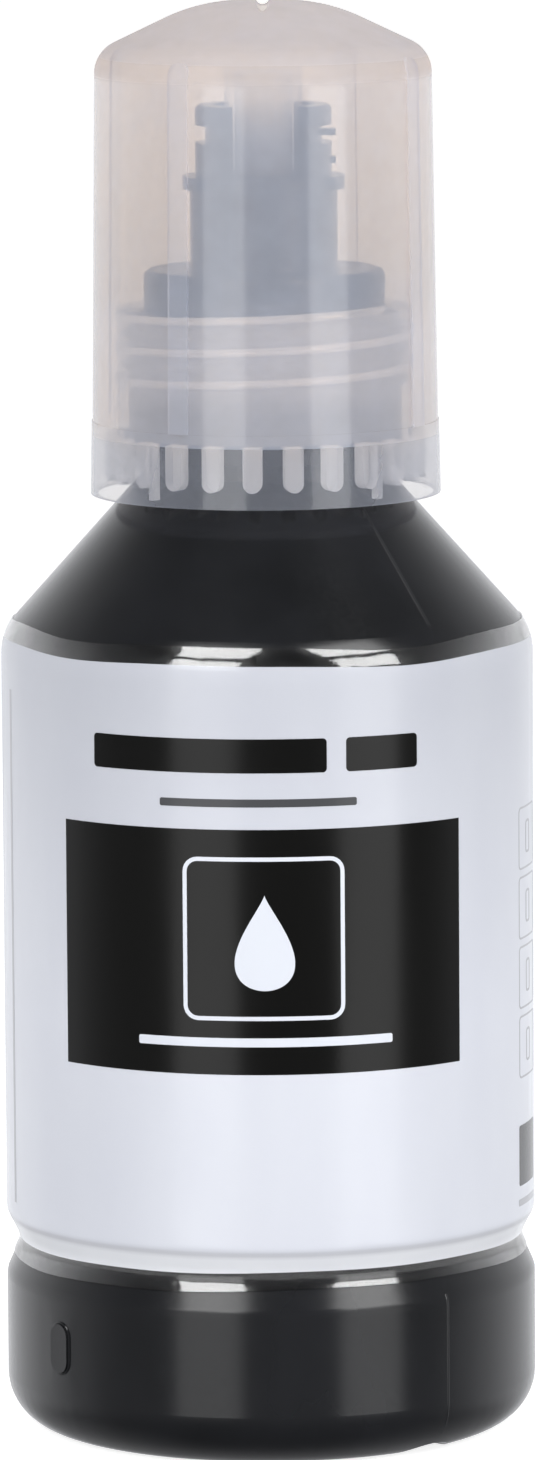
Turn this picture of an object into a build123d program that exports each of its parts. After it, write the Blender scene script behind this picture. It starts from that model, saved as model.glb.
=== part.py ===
"""Ink refill bottle: a blown bottle with a shrink label, a keyed nozzle and a screw cap.

The axis of the bottle is Z, its foot stands on z = 0, and its front faces -Y. Azimuths are
counted from the front, towards +X. Lengths are in millimetres and angles in degrees.
"""
from build123d import *
from math import asin, cos, degrees, radians, sin, tan
import os

# Bottle body
body_radius = 27.0
wall = 1.2
foot_rounding = 5.4
foot_band_height = 15.9
band_rounding = 2.2
groove_height = 6.4
groove_floor_height = 3.6
groove_depth = 1.6
groove_rounding = 2.0
body_length = 59.3
shoulder_slope = 41.9
shoulder_rounding = 6.0
foot_ring_width = 3.1
pushup_depth = 2.2
pinch_azimuth = 41.0
pinch_width = 7.2
pinch_depth = 1.1
pinch_ridge_length = 25.0
pinch_ridge_width = 0.8
pinch_ridge_proud = 0.4
mould_pad_azimuth = -52.0
mould_pad_width = 2.6
mould_pad_length = 5.0
mould_pad_proud = 0.3

# Bottle neck
neck_radius = 12.2
neck_height = 14.6
neck_rounding = 1.0
bead_drop = 11.2
bead_height = 1.6
bead_depth = 0.5

# Shrink label
film_thickness = 0.12
film_gap = 0.02
label_low_edge = 2.1
label_overlap = 1.0

# Ink
ink_level = 64.0
ink_gap = 0.05

# Gasket between the lip and the nozzle
gasket_thickness = 1.0
gasket_clearance = 0.1

# Nozzle
collar_clearance = 0.15
collar_wall = 1.45
collar_length = 14.0
collar_lip = 0.7
shoulder_step = 1.6
shoulder_height = 4.7
shoulder_edge_rounding = 0.8
nozzle_wall = 1.45
plug_clearance = 0.15
plug_wall = 1.0
plug_length = 4.0
column_radius = 7.45
column_height = 9.4
column_foot_rounding = 0.6
lug_reach = 0.75
lug_thickness = 1.3
lug_half_angle = 32.0
window_width = 8.2
window_height = 2.2
window_depth = 0.6
window_drops = (5.6, 9.0)

# Keyed crown on top of the nozzle
crown_inset = 0.55
crown_wall = 1.8
crown_height = 7.15
crown_edge = 0.35
crown_phase = 3.0
slot_half_angle = 40.0
keyway_floor = 3.35
keyway_height = 1.8
keyway_depth = 1.0
key_reach = 0.4
key_height = 0.65
key_half_angle = 8.0
key_floors = (1.2, 4.0)

# Slit valve and its retainer in the nozzle's pocket
pocket_inset = 0.6
pocket_depth = 2.0
seat_thickness = 1.4
seat_hole_radius = 2.4
valve_clearance = 0.05
valve_flange = 1.1
membrane_radius = 2.5
membrane_thickness = 0.5
slit_length = 3.2
slit_width = 0.15
retainer_height = 1.05
retainer_wall = 1.75

# Screw cap
thread_clearance = 1.1
thread_band_wall = 2.7
cap_overhang = 4.0
cap_headroom = 10.45
cap_wall = 1.25
cap_draft = 0.77
cap_rounding = 3.4
dome_slope = 25.5
dome_corner_radius = 6.3
dome_rounding = 17.7
skirt_height = 7.4
skirt_proud = 0.14
thread_band_low = 6.1
thread_band_height = 13.4
thread_band_chamfer = 1.0
tube_gap = 1.2
tube_wall = 1.0
tube_plug_depth = 7.1
gate_groove_width = 1.2
gate_groove_depth = 0.8

# Ribs of the cap
grip_rib_count = 4
grip_rib_width = 2.2
grip_rib_proud = 0.3
grip_rib_phase = -29.6
grip_rib_top_drop = 6.4
skirt_rib_count = 24
skirt_rib_width = 1.9
skirt_rib_phase = -4.8
skirt_rib_low = 1.5
web_count = 4
web_width = 0.6
web_phase = 45.0
web_inset = 0.4

# Places that follow from the sizes above
sleeved_radius = body_radius - film_gap - film_thickness
pushup_radius = body_radius - foot_rounding - foot_ring_width
pinch_radius = (pinch_width**2 / 4 + pinch_depth**2) / (2 * pinch_depth)
groove_floor_z = foot_band_height + groove_floor_height
groove_top_z = foot_band_height + groove_height
body_top_z = groove_top_z + body_length
neck_foot_z = body_top_z + (sleeved_radius - neck_radius) / tan(radians(shoulder_slope))
lip_z = neck_foot_z + neck_height
deck_z = lip_z + gasket_thickness
plug_radius = neck_radius - wall - plug_clearance
collar_bore = neck_radius + collar_clearance
collar_radius = collar_bore + collar_wall
collar_z = deck_z - collar_length
shoulder_radius = collar_radius - shoulder_step
shoulder_z = deck_z + shoulder_height
passage_radius = column_radius - nozzle_wall
column_top_z = shoulder_z + column_height
crown_radius = column_radius - crown_inset
crown_bore = crown_radius - crown_wall
crown_top_z = column_top_z + crown_height
pocket_radius = crown_bore - pocket_inset
pocket_z = column_top_z - pocket_depth
valve_radius = pocket_radius - valve_clearance
retainer_z = pocket_z + valve_flange
retainer_top_z = retainer_z + retainer_height
rim_z = collar_z - cap_overhang
cap_top_z = crown_top_z + cap_headroom
cap_bore = collar_radius + thread_clearance
cap_radius = cap_bore + thread_band_wall
step_z = rim_z + skirt_height
band_z = rim_z + thread_band_low
band_top_z = band_z + thread_band_height
tube_radius = crown_bore - tube_gap


def radial_plane(azimuth):
    """Plane through the axis: local x runs outwards at the azimuth, local y runs up."""
    angle = radians(azimuth)
    outwards = (sin(angle), -cos(angle), 0)
    return Plane(origin=(0, 0, 0), x_dir=outwards, z_dir=(-cos(angle), -sin(angle), 0))


def tangent_plane(azimuth, radius):
    """Upright plane at a radius that faces outwards at the azimuth, with local y up."""
    angle = radians(azimuth)
    outwards = Vector(sin(angle), -cos(angle), 0)
    return Plane(origin=outwards * radius, x_dir=(cos(angle), sin(angle), 0), z_dir=outwards)


def inset_outline(corners, roundings, inset):
    """Corners and roundings of an open outline moved to its left by inset."""
    points = [Vector(*corner) for corner in corners]
    runs = [(after - before).normalized() for before, after in zip(points, points[1:])]
    sides = [Vector(-run.Y, run.X) for run in runs]
    moved = [points[0] + sides[0] * inset]
    bends = []
    for index, rounding in enumerate(roundings):
        before, after = sides[index], sides[index + 1]
        mitre = (before + after) * (inset / (1 + before.dot(after)))
        moved.append(points[index + 1] + mitre)
        turn = runs[index].cross(runs[index + 1]).Z
        bends.append(max(rounding - inset, 0) if turn > 0 else rounding + inset)
    moved.append(points[-1] + sides[-1] * inset)
    return [(point.X, point.Y) for point in moved], bends


def bottle_section(inset):
    """Half section of the bottle's outside, moved inwards by inset."""
    corners = [
        (pushup_radius, 0),
        (body_radius, 0),
        (body_radius, foot_band_height),
        (body_radius - groove_depth, groove_floor_z),
        (sleeved_radius, groove_top_z),
        (sleeved_radius, body_top_z),
        (neck_radius, neck_foot_z),
        (neck_radius, lip_z),
    ]
    roundings = [
        foot_rounding,
        band_rounding,
        groove_rounding,
        groove_rounding,
        shoulder_rounding,
        neck_rounding,
    ]
    points, bends = inset_outline(corners, roundings, inset)
    with BuildSketch(Plane.XZ) as section:
        with BuildLine():
            pushup = TangentArc((0, pushup_depth + inset), points[0], tangent=(1, 0))
            side = FilletPolyline(*points, radius=bends)
            Polyline(side @ 1, (0, (side @ 1).Y), pushup @ 0)
        make_face()
    return section.sketch


def pinch_bar(outset):
    """Bar along the mould's parting plane that leaves the pinch groove, grown by outset."""
    with BuildPart() as bar:
        with BuildSketch(tangent_plane(pinch_azimuth, 0)):
            with Locations((0, pinch_depth - pinch_radius)):
                Circle(pinch_radius + outset)
        extrude(amount=body_radius, both=True)
    return bar.part


def bottle_inside(inset):
    """The bottle's inside at an inset from its outside, raised over the pinch groove."""
    with BuildPart() as inside:
        revolve(bottle_section(inset), axis=Axis.Z)
        add(pinch_bar(inset), mode=Mode.SUBTRACT)
    return inside.part


def cap_section(inset):
    """Half section of the cap's outside, moved inwards by inset."""
    draft = tan(radians(cap_draft))
    fall = tan(radians(dome_slope))
    height = cap_top_z - rim_z
    corner_radius = (cap_radius - draft * (height + dome_corner_radius * fall)) / (1 - draft * fall)
    corner_z = cap_top_z - (corner_radius - dome_corner_radius) * fall
    corners = [
        (cap_radius, rim_z),
        (corner_radius, corner_z),
        (dome_corner_radius, cap_top_z),
        (0, cap_top_z),
    ]
    points, bends = inset_outline(corners, [cap_rounding, dome_rounding], inset)
    with BuildSketch(Plane.XZ) as section:
        with BuildLine():
            side = FilletPolyline((points[0][0], rim_z), *points[1:-1], (0, points[-1][1]), radius=bends)
            Polyline(side @ 1, (0, rim_z), side @ 0)
        make_face()
    return section.sketch


def box_section(plane, low, high):
    """Rectangle on a plane from its low corner to its high corner."""
    with BuildSketch(plane) as section:
        with Locations(low):
            Rectangle(high[0] - low[0], high[1] - low[1], align=(Align.MIN, Align.MIN))
    return section.sketch


def outline_section(*corners):
    """Half section with the given corners, on the plane through the axis."""
    with BuildSketch(Plane.XZ) as section:
        with BuildLine():
            Polyline(*corners, close=True)
        make_face()
    return section.sketch


def ring_section(inner, outer, low, high):
    """Half section of a plain ring or disc."""
    return box_section(Plane.XZ, (inner, low), (outer, high))


def sector_section(azimuth, inner, outer, low, high):
    """Section of a ring's sector, where it starts at the azimuth."""
    return box_section(radial_plane(azimuth), (inner, low), (outer, high))


# Pinch ridge: the seam that the closing mould pinched across the push-up
with BuildPart() as pinch_ridge:
    revolve(bottle_section(-pinch_ridge_proud), axis=Axis.Z)
    with BuildSketch(tangent_plane(pinch_azimuth, 0)):
        Rectangle(pinch_ridge_width, 2 * pushup_depth + wall)
    extrude(amount=pinch_ridge_length / 2, both=True, mode=Mode.INTERSECT)

# Bottle: outside less inside, with its pinched foot, its snap bead and the mould's oval pad
with BuildPart() as bottle:
    revolve(bottle_section(0), axis=Axis.Z)
    add(pinch_bar(0), mode=Mode.SUBTRACT)
    add(pinch_ridge.part)
    add(bottle_inside(wall), mode=Mode.SUBTRACT)
    bead_low = lip_z - bead_drop
    bead_profile = outline_section(
        (neck_radius - wall / 2, bead_low),
        (neck_radius + bead_depth, bead_low),
        (neck_radius + bead_depth, bead_low + bead_height / 2),
        (neck_radius, bead_low + bead_height),
        (neck_radius - wall / 2, bead_low + bead_height),
    )
    revolve(bead_profile, axis=Axis.Z)
    with BuildSketch(tangent_plane(mould_pad_azimuth, body_radius - wall / 2)) as pad:
        with Locations((0, (foot_rounding + foot_band_height) / 2)):
            SlotOverall(mould_pad_length, mould_pad_width, rotation=90)
    extrude(amount=wall / 2 + mould_pad_proud)
bottle.part.label = "bottle"

# Label: a film that hugs the bottle from inside the groove to the start of the shoulder
with BuildPart() as label_sleeve:
    revolve(bottle_section(-film_gap - film_thickness), axis=Axis.Z)
    revolve(bottle_section(-film_gap), axis=Axis.Z, mode=Mode.SUBTRACT)
    label_span = ring_section(
        0, body_radius + wall, foot_band_height + label_low_edge, body_top_z + label_overlap
    )
    revolve(label_span, axis=Axis.Z, mode=Mode.INTERSECT)
label_sleeve.part.label = "label_sleeve"

# Ink: the bottle's inside, up to the level of the fill
with BuildPart() as ink:
    add(bottle_inside(wall + ink_gap))
    revolve(ring_section(0, body_radius, 0, ink_level), axis=Axis.Z, mode=Mode.INTERSECT)
ink.part.label = "ink"

# Gasket: a flat ring on the lip, around the nozzle's plug
with BuildPart() as neck_gasket:
    gasket_profile = ring_section(
        plug_radius + gasket_clearance, neck_radius - gasket_clearance, lip_z, deck_z
    )
    revolve(gasket_profile, axis=Axis.Z)
neck_gasket.part.label = "neck_gasket"

# Nozzle: collar, shoulder and column, hollowed from below, with the plug that seals the neck
with BuildPart() as nozzle:
    with BuildSketch(Plane.XZ) as nozzle_profile:
        with BuildLine():
            FilletPolyline(
                (0, collar_z),
                (collar_radius, collar_z),
                (collar_radius, deck_z),
                (shoulder_radius, deck_z + collar_lip),
                (shoulder_radius, shoulder_z),
                (column_radius, shoulder_z),
                (column_radius, column_top_z),
                (0, column_top_z),
                radius=[0, 0, 0, shoulder_edge_rounding, column_foot_rounding, 0],
            )
            Polyline((0, column_top_z), (0, collar_z))
        make_face()
    revolve(axis=Axis.Z)
    revolve(ring_section(0, collar_bore, collar_z, deck_z), axis=Axis.Z, mode=Mode.SUBTRACT)
    bead_groove = ring_section(
        0,
        collar_bore + bead_depth,
        bead_low - collar_clearance,
        bead_low + bead_height,
    )
    revolve(bead_groove, axis=Axis.Z, mode=Mode.SUBTRACT)
    revolve(ring_section(0, plug_radius, deck_z - plug_length, deck_z), axis=Axis.Z)
    plug_hollow = ring_section(
        0, plug_radius - plug_wall, deck_z - plug_length, shoulder_z - nozzle_wall
    )
    revolve(plug_hollow, axis=Axis.Z, mode=Mode.SUBTRACT)
    passage = ring_section(0, passage_radius, deck_z, pocket_z - seat_thickness)
    revolve(passage, axis=Axis.Z, mode=Mode.SUBTRACT)
    revolve(ring_section(0, seat_hole_radius, deck_z, column_top_z), axis=Axis.Z, mode=Mode.SUBTRACT)
    revolve(ring_section(0, pocket_radius, pocket_z, column_top_z), axis=Axis.Z, mode=Mode.SUBTRACT)

    # Four lugs around the top of the column
    for quarter in range(4):
        lug = sector_section(
            crown_phase - lug_half_angle + 90 * quarter,
            column_radius - nozzle_wall / 2,
            column_radius + lug_reach,
            column_top_z - lug_thickness,
            column_top_z,
        )
        revolve(lug, axis=Axis.Z, revolution_arc=2 * lug_half_angle)

    # Two keyed walls, with a slot between them at the front and at the back
    for side in (0, 180):
        with BuildSketch(radial_plane(crown_phase + slot_half_angle + side)) as crown_profile:
            with BuildLine():
                Polyline(
                    (crown_bore, column_top_z - pocket_depth / 4),
                    (crown_radius, column_top_z - pocket_depth / 4),
                    (crown_radius, column_top_z + keyway_floor),
                    (crown_radius - keyway_depth, column_top_z + keyway_floor),
                    (crown_radius - keyway_depth, column_top_z + keyway_floor + keyway_height),
                    (crown_radius, column_top_z + keyway_floor + keyway_height),
                    (crown_radius, crown_top_z - crown_edge),
                    (crown_radius - crown_edge, crown_top_z),
                    (crown_bore, crown_top_z),
                    close=True,
                )
            make_face()
        revolve(axis=Axis.Z, revolution_arc=180 - 2 * slot_half_angle)

    # Two small keys on the right-hand wall
    for key_floor in key_floors:
        key = sector_section(
            crown_phase + 90 - key_half_angle,
            crown_bore + crown_wall / 4,
            crown_radius + key_reach,
            column_top_z + key_floor,
            column_top_z + key_floor + key_height,
        )
        revolve(key, axis=Axis.Z, revolution_arc=2 * key_half_angle)

    # Shallow windows in the collar, two in front and two behind
    window_half_angle = degrees(asin(window_width / 2 / collar_radius))
    for side in (0, 180):
        for drop in window_drops:
            window = sector_section(
                side - window_half_angle,
                collar_radius - window_depth,
                collar_radius + window_depth,
                deck_z - drop - window_height / 2,
                deck_z - drop + window_height / 2,
            )
            revolve(window, axis=Axis.Z, revolution_arc=2 * window_half_angle, mode=Mode.SUBTRACT)
nozzle.part.label = "nozzle"

# Slit valve: a silicone flange around a thin membrane with a cross slit
with BuildPart() as slit_valve:
    revolve(ring_section(0, valve_radius, pocket_z, retainer_z), axis=Axis.Z)
    membrane_z = (pocket_z + retainer_z) / 2
    dish_depth = (valve_flange - membrane_thickness) / 2
    upper_dish = outline_section(
        (0, retainer_z),
        (membrane_radius, retainer_z),
        (membrane_radius - dish_depth, retainer_z - dish_depth),
        (0, retainer_z - dish_depth),
    )
    lower_dish = outline_section(
        (0, pocket_z),
        (seat_hole_radius, pocket_z),
        (seat_hole_radius - dish_depth, pocket_z + dish_depth),
        (0, pocket_z + dish_depth),
    )
    revolve(upper_dish, axis=Axis.Z, mode=Mode.SUBTRACT)
    revolve(lower_dish, axis=Axis.Z, mode=Mode.SUBTRACT)
    with BuildSketch(Plane.XY.offset(membrane_z)) as slit:
        Rectangle(slit_length, slit_width)
        Rectangle(slit_width, slit_length)
    extrude(amount=valve_flange, both=True, mode=Mode.SUBTRACT)
slit_valve.part.label = "slit_valve"

# Retainer: the ring that holds the valve's flange down
with BuildPart() as valve_retainer:
    retainer_profile = ring_section(
        valve_radius - retainer_wall, valve_radius, retainer_z, retainer_top_z
    )
    revolve(retainer_profile, axis=Axis.Z)
valve_retainer.part.label = "valve_retainer"

# Grip ribs: upright bars with a round top, trimmed to a skin just outside the cap
rib_root = cap_radius - cap_wall
rib_top_z = cap_top_z - grip_rib_top_drop
with BuildPart() as grip_ribs:
    for index in range(grip_rib_count):
        azimuth = grip_rib_phase + index * 360 / grip_rib_count
        with BuildSketch(tangent_plane(azimuth, rib_root)) as grip_rib:
            with Locations((0, (step_z + rib_top_z) / 2)):
                Rectangle(grip_rib_width, rib_top_z - step_z)
            with Locations((0, rib_top_z)):
                Circle(grip_rib_width / 2)
        extrude(amount=cap_wall + grip_rib_proud)
    revolve(cap_section(-grip_rib_proud), axis=Axis.Z, mode=Mode.INTERSECT)

# Skirt rib: one tooth with a round lower end, its upper end inside the thread band
with BuildPart() as skirt_rib:
    tooth_low = rim_z + skirt_rib_low
    tooth_high = band_z + skirt_rib_width
    with BuildSketch(tangent_plane(0, cap_bore)):
        with Locations((0, (tooth_low + tooth_high) / 2)):
            SlotOverall(tooth_high - tooth_low, skirt_rib_width, rotation=90)
    extrude(amount=thread_band_wall - cap_wall / 2)

# Cap: domed shell with its skirt, thread band, sealing tube, ribs and gate groove
with BuildPart() as cap:
    revolve(cap_section(0), axis=Axis.Z)
    skirt_ring = outline_section(
        (cap_radius - cap_wall, rim_z),
        (cap_radius + skirt_proud, rim_z),
        (cap_radius, step_z),
        (cap_radius - cap_wall, step_z),
    )
    revolve(skirt_ring, axis=Axis.Z)
    add(grip_ribs.part)
    revolve(cap_section(cap_wall), axis=Axis.Z, mode=Mode.SUBTRACT)
    band_root = cap_radius - cap_wall / 2 - tan(radians(cap_draft)) * (band_top_z - rim_z)
    thread_band = outline_section(
        (cap_bore, band_z),
        (band_root, band_z),
        (band_root, band_top_z),
        (cap_bore + thread_band_chamfer, band_top_z),
        (cap_bore, band_top_z - thread_band_chamfer),
    )
    revolve(thread_band, axis=Axis.Z)
    with PolarLocations(0, skirt_rib_count, start_angle=skirt_rib_phase):
        add(skirt_rib.part)
    for index in range(web_count):
        azimuth = web_phase + index * 360 / web_count
        with BuildSketch(tangent_plane(azimuth, cap_bore + web_inset)) as web:
            with Locations((0, (rim_z + web_inset + band_z) / 2)):
                Rectangle(web_width, band_z - rim_z - web_inset)
        extrude(amount=thread_band_wall - web_inset - cap_wall / 2)
    revolve(ring_section(0, tube_radius, retainer_top_z, cap_top_z - cap_wall), axis=Axis.Z)
    tube_bore = ring_section(0, tube_radius - tube_wall, retainer_top_z, cap_top_z - tube_plug_depth)
    revolve(tube_bore, axis=Axis.Z, mode=Mode.SUBTRACT)
    with BuildSketch(Plane.XZ) as gate_groove:
        with Locations((0, cap_top_z - gate_groove_depth + gate_groove_width / 2)):
            Circle(gate_groove_width / 2)
            Rectangle(gate_groove_width, gate_groove_depth, align=(Align.CENTER, Align.MIN))
    extrude(amount=cap_radius, both=True, mode=Mode.SUBTRACT)
cap.part.label = "cap"

os.makedirs("parts", exist_ok=True)
export_step(bottle.part, "parts/bottle.step")
export_step(label_sleeve.part, "parts/label_sleeve.step")
export_step(ink.part, "parts/ink.step")
export_step(neck_gasket.part, "parts/neck_gasket.step")
export_step(nozzle.part, "parts/nozzle.step")
export_step(slit_valve.part, "parts/slit_valve.step")
export_step(valve_retainer.part, "parts/valve_retainer.step")
export_step(cap.part, "parts/cap.step")
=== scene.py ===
"""Studio scene of the ink refill bottle.

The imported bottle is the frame. This script adds what its solids leave out: the shrink film with its
print, the two threads, the mould's parting lines, every finish, the studio and the camera. Sizes are
in millimetres and azimuths in degrees, counted from the front (-Y) towards +X.
"""

import logging
from dataclasses import dataclass
from enum import Enum
from math import atan2, cos, pi, radians, sin, tan, tau
from typing import Any, Optional, Union

import bmesh
import bpy
from bmesh.types import BMEdge, BMesh, BMVert
from bpy.types import Material, Node, NodeSocket, NodeTree, Object
from mathutils import Matrix, Vector


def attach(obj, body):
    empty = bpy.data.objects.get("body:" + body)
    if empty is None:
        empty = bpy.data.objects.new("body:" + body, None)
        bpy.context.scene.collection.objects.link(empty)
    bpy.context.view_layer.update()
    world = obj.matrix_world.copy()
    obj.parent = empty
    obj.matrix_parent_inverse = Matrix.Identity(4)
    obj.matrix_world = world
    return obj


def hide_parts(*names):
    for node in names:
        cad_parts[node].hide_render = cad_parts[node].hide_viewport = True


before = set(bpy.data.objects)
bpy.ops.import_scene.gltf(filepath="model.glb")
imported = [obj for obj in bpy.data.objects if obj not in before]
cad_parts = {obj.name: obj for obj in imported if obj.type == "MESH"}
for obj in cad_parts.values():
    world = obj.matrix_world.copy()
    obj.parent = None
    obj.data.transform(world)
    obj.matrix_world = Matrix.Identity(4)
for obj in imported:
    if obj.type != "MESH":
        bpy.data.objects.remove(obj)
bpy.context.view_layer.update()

# A millimetre in metres
MM = 0.001
# Degrees between two faces from which their edge stays sharp
SHARP_ANGLE = 30.0
# Part of a noise's range that is stretched over a whole one
NOISE_MIDDLE = (0.3, 0.7)
# What an input can be linked to
Source = Union[Node, NodeSocket]
logger = logging.getLogger("ink_bottle")


def linear(hex_colour: str) -> tuple[float, float, float, float]:
    """Turns an sRGB hex colour to a linear one.

    Args:
        hex_colour: colour such as "#1c1d1f".

    Returns:
        Linear red, green and blue, and an alpha of 1.
    """
    channels = [int(hex_colour[place : place + 2], 16) / 255 for place in (1, 3, 5)]
    red, green, blue = (c / 12.92 if c <= 0.04045 else ((c + 0.055) / 1.055) ** 2.4 for c in channels)
    return red, green, blue, 1.0


def add_node(tree: NodeTree, kind: str, inputs: Optional[dict] = None, **settings: Any) -> Node:
    """Adds a node with its settings, and sets or links its inputs.

    Args:
        tree: node tree that gets the node.
        kind: type name of the node.
        inputs: by name or number, the value of an input, the socket to link to it, or the node
            whose first output in use is linked.
        settings: properties of the node.

    Returns:
        The new node.
    """
    node = tree.nodes.new(kind)
    for name, value in settings.items():
        setattr(node, name, value)
    for key, value in (inputs or {}).items():
        if isinstance(value, Node):
            value = next(socket for socket in value.outputs if socket.enabled)
        if isinstance(value, NodeSocket):
            tree.links.new(value, node.inputs[key])
        else:
            node.inputs[key].default_value = value
    return node


def ranging(
    value: Source,
    span: tuple[float, float],
    levels: tuple[float, float] = (0.0, 1.0),
    unit: float = 1.0,
) -> dict[str, Any]:
    """Inputs of a range node that takes a span to two levels.

    Args:
        value: value that runs over the span.
        span: values that get the first and the second level.
        levels: the two levels.
        unit: unit of the span.

    Returns:
        The inputs by name.
    """
    return {
        "Value": value,
        "From Min": span[0] * unit,
        "From Max": span[1] * unit,
        "To Min": levels[0],
        "To Max": levels[1],
    }


def radial_point(azimuth: float, radius: float, height: float) -> Vector:
    """Point at an azimuth in radians, a radius and a height, all lengths in metres."""
    return Vector((radius * sin(azimuth), -radius * cos(azimuth), height))


def azimuth_of(place: Vector) -> float:
    """Azimuth of a point in radians, from the front towards +X."""
    return atan2(place.x, -place.y)


def outset(corners: list[tuple[float, float]], proud: float) -> list[Vector]:
    """Moves an open outline to its right, with mitred corners.

    Args:
        corners: radius and height of each corner, from the foot up.
        proud: distance that the outline moves outwards.

    Returns:
        Corners of the moved outline.
    """
    points = [Vector(corner) for corner in corners]
    runs = [(after - before).normalized() for before, after in zip(points, points[1:])]
    sides = [Vector((run.y, -run.x)) for run in runs]
    moved = [points[0] + sides[0] * proud]
    for point, before, after in zip(points[1:], sides, sides[1:]):
        moved.append(point + (before + after) * (proud / (1 + before.dot(after))))
    moved.append(points[-1] + sides[-1] * proud)
    return moved


def rounded(corners: list[Vector], roundings: list[float], steps: int) -> list[Vector]:
    """Rounds the inner corners of an open outline with arcs.

    Args:
        corners: corners of the outline.
        roundings: radius of the arc at each inner corner.
        steps: straight pieces in each arc.

    Returns:
        Points of the rounded outline.
    """
    points = [corners[0]]
    for before, corner, after, rounding in zip(corners, corners[1:], corners[2:], roundings):
        inwards, outwards = (before - corner).normalized(), (after - corner).normalized()
        half = inwards.angle(outwards) / 2
        centre = corner + (inwards + outwards).normalized() * (rounding / sin(half))
        start = (corner + inwards * (rounding / tan(half)) - centre).normalized()
        end = (corner + outwards * (rounding / tan(half)) - centre).normalized()
        points += [centre + start.slerp(end, step / steps) * rounding for step in range(steps + 1)]
    points.append(corners[-1])
    return points


def finish_mesh(name: str, bm: BMesh, body: str) -> Object:
    """Turns a bmesh to a piece that rides on a body, smooth but for its sharp edges.

    Args:
        name: name of the piece.
        bm: its mesh in metres, in the shared frame.
        body: CAD body that it rides on.

    Returns:
        The new object.
    """
    mesh = bpy.data.meshes.new(name)
    for face in bm.faces:
        face.smooth = True
    bm.to_mesh(mesh)
    bm.free()
    mesh.set_sharp_from_angle(angle=radians(SHARP_ANGLE))
    piece = bpy.data.objects.new(name, mesh)
    bpy.context.scene.collection.objects.link(piece)
    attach(piece, body)
    logger.info("%s: %d faces on %s", name, len(mesh.polygons), body)
    return piece


class InkColour(Enum):
    """Printing inks on the film."""

    BLACK = "#0c0c0b"
    WHITE = "#dfe3ec"
    GREY = "#b4b5bb"
    DARK_GREY = "#4a4b4e"


class Side(Enum):
    """Side of a limit that a zone lies on."""

    BELOW = "LESS_THAN"
    ABOVE = "GREATER_THAN"


@dataclass(frozen=True)
class Finish:
    """Moulded plastic or rubber: one colour with soft blotches, a fine grain and an even gloss.

    It is also what every other finish starts from. Its lengths are in millimetres.
    """

    name: str
    colour: str
    roughness: float
    ior: float = 1.5
    grain: float = 0.4
    grain_depth: float = 0.004
    uneven: float = 0.1
    blotch: float = 12.0
    blotch_colour: str = "#2a2b2e"
    blotch_share: float = 0.5

    def pattern(
        self, tree: NodeTree, size: float, stretch: tuple[float, ...] = (1, 1, 1)
    ) -> Node:
        """Soft noise on the object's own coordinates.

        Args:
            tree: node tree of the material.
            size: size of a blob in millimetres.
            stretch: how many times finer it is along each axis.

        Returns:
            The noise, from 0 to 1.
        """
        place = add_node(tree, "ShaderNodeTexCoord").outputs["Object"]
        scaled = add_node(tree, "ShaderNodeMapping", {"Vector": place, "Scale": stretch})
        return add_node(tree, "ShaderNodeTexNoise", {"Vector": scaled, "Scale": 1 / (size * MM)})

    def uneven_gloss(self, tree: NodeTree, noise: Source) -> Node:
        """Roughness that a noise takes a little below and above the finish's own."""
        levels = (self.roughness * (1 - self.uneven), self.roughness * (1 + self.uneven))
        return add_node(tree, "ShaderNodeMapRange", ranging(noise, NOISE_MIDDLE, levels))

    def ramp(
        self,
        tree: NodeTree,
        length: Source,
        span: tuple[float, float],
        stops: tuple[tuple[float, tuple[float, ...]], ...],
        interpolation: str = "LINEAR",
    ) -> Node:
        """Colour that follows a length over a list of stops.

        Args:
            tree: node tree of the material.
            length: length in metres that the colour follows.
            span: lowest and highest length, in millimetres.
            stops: length in millimetres and linear colour of each stop.
            interpolation: how the colour runs between the stops.

        Returns:
            The colour.
        """
        share = add_node(tree, "ShaderNodeMapRange", ranging(length, span, unit=MM))
        node = add_node(tree, "ShaderNodeValToRGB", {0: share})
        scale = node.color_ramp
        scale.interpolation = interpolation
        while len(scale.elements) > 1:
            scale.elements.remove(scale.elements[-1])
        for index, (place, colour) in enumerate(stops):
            position = (place - span[0]) / (span[1] - span[0])
            stop = scale.elements[0] if index == 0 else scale.elements.new(position)
            stop.position = position
            stop.color = colour
        return node

    def surface(self, tree: NodeTree) -> Node:
        """Shader of the finish, which is the plain moulded one unless a finish says otherwise.

        Args:
            tree: node tree of the material.

        Returns:
            The shader.
        """
        grain = self.pattern(tree, self.grain)
        blotch = self.pattern(tree, self.grain * self.blotch)
        share = add_node(
            tree, "ShaderNodeMapRange", ranging(blotch, NOISE_MIDDLE, (0.0, self.blotch_share))
        )
        colours = {0: share, 6: linear(self.colour), 7: linear(self.blotch_colour)}
        return add_node(
            tree,
            "ShaderNodeBsdfPrincipled",
            {
                "Base Color": add_node(tree, "ShaderNodeMix", colours, data_type="RGBA"),
                "Roughness": self.uneven_gloss(tree, blotch),
                "IOR": self.ior,
                "Normal": add_node(
                    tree, "ShaderNodeBump", {"Height": grain, "Distance": self.grain_depth * MM}
                ),
            },
        )

    def material(self) -> Material:
        """Builds the node material of the finish.

        Returns:
            The material.
        """
        made = bpy.data.materials.new(self.name)
        made.use_nodes = True
        tree = made.node_tree
        tree.nodes.clear()
        add_node(tree, "ShaderNodeOutputMaterial", {"Surface": self.surface(tree)})
        return made

    def dress(self, *pieces: Object) -> None:
        """Puts the finish on every slot of some pieces.

        Args:
            pieces: pieces or CAD nodes of this finish.
        """
        made = self.material()
        for piece in pieces:
            if not piece.material_slots:
                piece.data.materials.append(made)
            for place in piece.material_slots:
                place.material = made


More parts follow.
